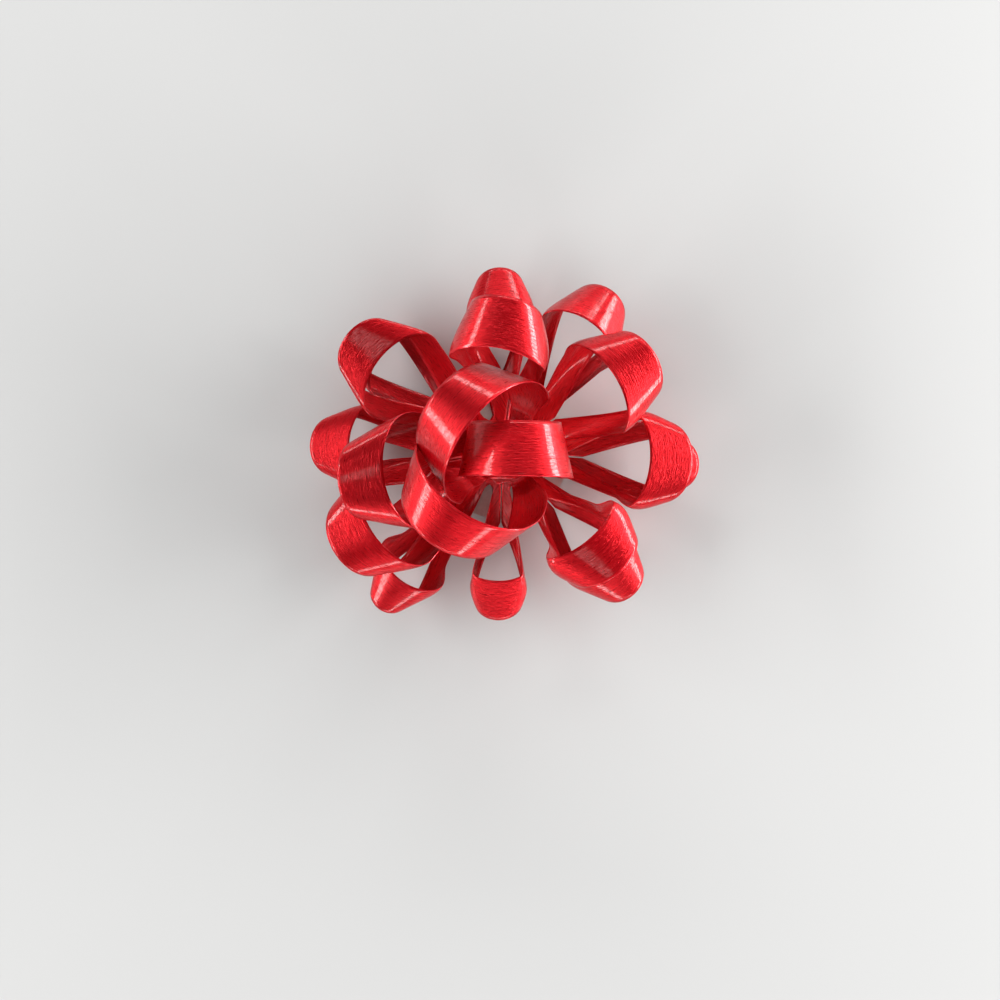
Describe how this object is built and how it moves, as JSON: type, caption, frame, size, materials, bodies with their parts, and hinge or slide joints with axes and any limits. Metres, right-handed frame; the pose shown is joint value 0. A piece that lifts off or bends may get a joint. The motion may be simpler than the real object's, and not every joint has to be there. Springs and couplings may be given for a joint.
{
  "type": "pre-made gift bow",
  "caption": "Star gift bow of red satin ribbon loops stapled in tiers over a round card, with an adhesive foam pad and a peel-off release liner.",
  "frame": {"origin": "centre of the release liner's underside, on the staple axis", "axes": "+Z along the staple axis, up through the centre loop; the centre loop's ribbon runs along X"},
  "size_m": [0.0749, 0.068, 0.0324],
  "materials": {
    "ribbon": "satin polypropylene ribbon, bright red",
    "card": "plain grey-white board",
    "foam": "white closed-cell foam tape",
    "liner": "silicone-coated release paper",
    "wire": "galvanised staple wire"
  },
  "bodies": {
    "base": {"base_card": "card", "adhesive_foam_pad": "foam", "staple": "wire"},
    "liner": {"release_liner": "liner"},
    "outer_loop_1": {"outer_loop_1": "ribbon"},
    "outer_loop_2": {"outer_loop_2": "ribbon"},
    "outer_loop_3": {"outer_loop_3": "ribbon"},
    "outer_loop_4": {"outer_loop_4": "ribbon"},
    "outer_loop_5": {"outer_loop_5": "ribbon"},
    "outer_loop_6": {"outer_loop_6": "ribbon"},
    "outer_loop_7": {"outer_loop_7": "ribbon"},
    "outer_loop_8": {"outer_loop_8": "ribbon"},
    "middle_loop_1": {"middle_loop_1": "ribbon"},
    "middle_loop_2": {"middle_loop_2": "ribbon"},
    "middle_loop_3": {"middle_loop_3": "ribbon"},
    "middle_loop_4": {"middle_loop_4": "ribbon"},
    "upper_loop_1": {"upper_loop_1": "ribbon"},
    "upper_loop_2": {"upper_loop_2": "ribbon"},
    "upper_loop_3": {"upper_loop_3": "ribbon"},
    "crown_loop_front": {"crown_loop_front": "ribbon"},
    "crown_loop_back": {"crown_loop_back": "ribbon"},
    "centre_loop": {"centre_loop": "ribbon"}
  },
  "joints": [
    {"name": "liner_peel", "type": "hinge", "parent": "base", "child": "liner", "pos_m": [-0.009, 0, 0.00012], "axis": [0, 1, 0], "range_deg": [0, 75]},
    {"name": "outer_loop_1_swivel", "type": "hinge", "parent": "base", "child": "outer_loop_1", "pos_m": [0, 0, 0.002], "axis": [0, 0, 1], "range_deg": [-2, 4]},
    {"name": "outer_loop_2_swivel", "type": "hinge", "parent": "base", "child": "outer_loop_2", "pos_m": [0, 0, 0.0022], "axis": [0, 0, 1], "range_deg": [-2, 2]},
    {"name": "outer_loop_3_swivel", "type": "hinge", "parent": "base", "child": "outer_loop_3", "pos_m": [0, 0, 0.0024], "axis": [0, 0, 1], "range_deg": [-4, 1.5]},
    {"name": "outer_loop_4_swivel", "type": "hinge", "parent": "base", "child": "outer_loop_4", "pos_m": [0, 0, 0.0026], "axis": [0, 0, 1], "range_deg": [-4, 4]},
    {"name": "outer_loop_5_swivel", "type": "hinge", "parent": "base", "child": "outer_loop_5", "pos_m": [0, 0, 0.0028], "axis": [0, 0, 1], "range_deg": [-4, 4]},
    {"name": "outer_loop_6_swivel", "type": "hinge", "parent": "base", "child": "outer_loop_6", "pos_m": [0, 0, 0.003], "axis": [0, 0, 1], "range_deg": [-4, 4]},
    {"name": "outer_loop_7_swivel", "type": "hinge", "parent": "base", "child": "outer_loop_7", "pos_m": [0, 0, 0.0032], "axis": [0, 0, 1], "range_deg": [-2, 4]},
    {"name": "outer_loop_8_swivel", "type": "hinge", "parent": "base", "child": "outer_loop_8", "pos_m": [0, 0, 0.0034], "axis": [0, 0, 1], "range_deg": [-4, 1]},
    {"name": "middle_loop_1_swivel", "type": "hinge", "parent": "base", "child": "middle_loop_1", "pos_m": [0, 0, 0.0036], "axis": [0, 0, 1], "range_deg": [-1.5, 1.5]},
    {"name": "middle_loop_2_swivel", "type": "hinge", "parent": "base", "child": "middle_loop_2", "pos_m": [0, 0, 0.0038], "axis": [0, 0, 1], "range_deg": [-4, 4]},
    {"name": "middle_loop_3_swivel", "type": "hinge", "parent": "base", "child": "middle_loop_3", "pos_m": [0, 0, 0.004], "axis": [0, 0, 1], "range_deg": [-1.5, 2]},
    {"name": "middle_loop_4_swivel", "type": "hinge", "parent": "base", "child": "middle_loop_4", "pos_m": [0, 0, 0.0042], "axis": [0, 0, 1], "range_deg": [-1, 3]},
    {"name": "upper_loop_1_swivel", "type": "hinge", "parent": "base", "child": "upper_loop_1", "pos_m": [0, 0, 0.0044], "axis": [0, 0, 1], "range_deg": [-1, 3]},
    {"name": "upper_loop_2_swivel", "type": "hinge", "parent": "base", "child": "upper_loop_2", "pos_m": [0, 0, 0.0046], "axis": [0, 0, 1], "range_deg": [-4, 4]},
    {"name": "upper_loop_3_swivel", "type": "hinge", "parent": "base", "child": "upper_loop_3", "pos_m": [0, 0, 0.0048], "axis": [0, 0, 1], "range_deg": [-4, 4]},
    {"name": "crown_loop_front_swivel", "type": "hinge", "parent": "base", "child": "crown_loop_front", "pos_m": [0, 0, 0.0053], "axis": [0, 0, 1], "range_deg": [-0.5, 4]},
    {"name": "crown_loop_back_swivel", "type": "hinge", "parent": "base", "child": "crown_loop_back", "pos_m": [0, 0, 0.0055], "axis": [0, 0, 1], "range_deg": [-4, 0.5]},
    {"name": "centre_loop_swivel", "type": "hinge", "parent": "base", "child": "centre_loop", "pos_m": [0, 0, 0.0057], "axis": [0, 0, 1], "range_deg": [-4, 4]}
  ],
  "couplings": [
    {"joint": "upper_loop_1_swivel", "follows": "middle_loop_4_swivel", "ratio": 1}
  ]
}
